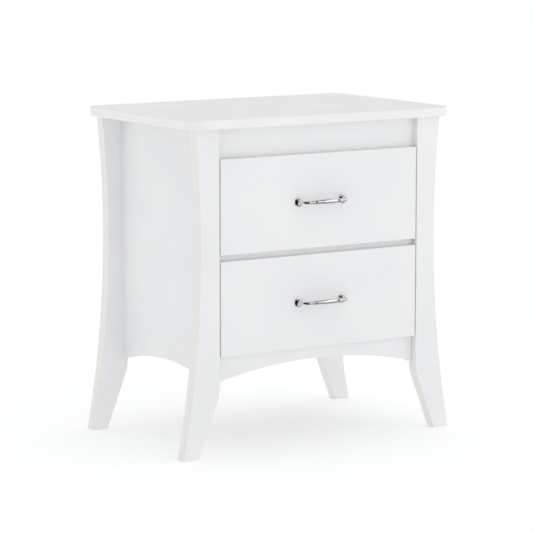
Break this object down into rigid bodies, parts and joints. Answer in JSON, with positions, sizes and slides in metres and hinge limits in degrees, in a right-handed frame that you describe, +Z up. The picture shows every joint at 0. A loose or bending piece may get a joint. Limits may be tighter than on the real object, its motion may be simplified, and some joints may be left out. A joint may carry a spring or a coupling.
{
  "type": "nightstand with drawers",
  "caption": "Bedside table with a rounded top, flared board legs, arched apron and sides, and a pair of drawers on ball-bearing slides, each with a bow handle.",
  "frame": {"origin": "on the floor, under the middle of the whole piece's outline, handles included", "axes": "+Z up, +X to the right of a person facing the drawers, -Y the way the drawers open"},
  "size_m": [0.586, 0.396, 0.61],
  "materials": {
    "white_lacquer": "satin white lacquer on medium-density fibreboard and solid wood",
    "box_board": "white foil-faced drawer board",
    "white_hardboard": "white-faced hardboard, smooth one side",
    "dowel_wood": "plain fluted beech",
    "chrome": "polished chrome plate",
    "slide_zinc": "bright zinc-plated rolled steel",
    "bearing_steel": "hardened and polished steel balls, greased",
    "zinc_screws": "zinc-plated steel",
    "cam_zinc": "die-cast zinc alloy"
  },
  "bodies": {
    "root": {"top_panel": "white_lacquer", "front_leg_left": "white_lacquer", "front_leg_right": "white_lacquer", "rear_leg_left": "white_lacquer", "rear_leg_right": "white_lacquer", "side_panel_left": "white_lacquer", "side_panel_right": "white_lacquer", "back_panel": "white_hardboard", "front_top_rail": "white_lacquer", "front_middle_rail": "white_lacquer", "front_apron": "white_lacquer", "rear_top_rail": "white_lacquer", "rear_bottom_rail": "white_lacquer", "front_rail_dowels": "dowel_wood", "rear_rail_dowels": "dowel_wood", "side_panel_dowels": "dowel_wood", "top_cam_discs": "cam_zinc", "top_cam_bolts": "cam_zinc", "back_panel_nails": "zinc_screws", "slide_screws": "zinc_screws", "upper_slide_outer_left": "slide_zinc", "upper_slide_outer_right": "slide_zinc", "lower_slide_outer_left": "slide_zinc", "lower_slide_outer_right": "slide_zinc"},
    "upper_drawer": {"upper_drawer_front": "white_lacquer", "upper_drawer_side_left": "box_board", "upper_drawer_side_right": "box_board", "upper_drawer_back": "box_board", "upper_drawer_bottom": "white_hardboard", "upper_handle": "chrome", "upper_handle_screws": "zinc_screws", "upper_drawer_cam_discs": "cam_zinc", "upper_drawer_cam_bolts": "cam_zinc", "upper_drawer_screws": "zinc_screws", "upper_slide_inner_left": "slide_zinc", "upper_slide_inner_right": "slide_zinc", "upper_slide_inner_screws": "zinc_screws"},
    "upper_slide_cages": {"upper_slide_cage_left": "slide_zinc", "upper_slide_cage_right": "slide_zinc", "upper_slide_balls": "bearing_steel"},
    "lower_drawer": {"lower_drawer_front": "white_lacquer", "lower_drawer_side_left": "box_board", "lower_drawer_side_right": "box_board", "lower_drawer_back": "box_board", "lower_drawer_bottom": "white_hardboard", "lower_handle": "chrome", "lower_handle_screws": "zinc_screws", "lower_drawer_cam_discs": "cam_zinc", "lower_drawer_cam_bolts": "cam_zinc", "lower_drawer_screws": "zinc_screws", "lower_slide_inner_left": "slide_zinc", "lower_slide_inner_right": "slide_zinc", "lower_slide_inner_screws": "zinc_screws"},
    "lower_slide_cages": {"lower_slide_cage_left": "slide_zinc", "lower_slide_cage_right": "slide_zinc", "lower_slide_balls": "bearing_steel"}
  },
  "joints": [
    {"name": "upper_drawer_slide", "type": "slide", "parent": "root", "child": "upper_drawer", "axis": [0, -1, 0], "range_m": [0, 0.22]},
    {"name": "upper_cage_roll", "type": "slide", "parent": "root", "child": "upper_slide_cages", "axis": [0, -1, 0], "range_m": [0, 0.11]},
    {"name": "lower_drawer_slide", "type": "slide", "parent": "root", "child": "lower_drawer", "axis": [0, -1, 0], "range_m": [0, 0.22]},
    {"name": "lower_cage_roll", "type": "slide", "parent": "root", "child": "lower_slide_cages", "axis": [0, -1, 0], "range_m": [0, 0.11]}
  ],
  "couplings": [
    {"joint": "upper_cage_roll", "follows": "upper_drawer_slide", "ratio": 0.5},
    {"joint": "lower_cage_roll", "follows": "lower_drawer_slide", "ratio": 0.5}
  ]
}
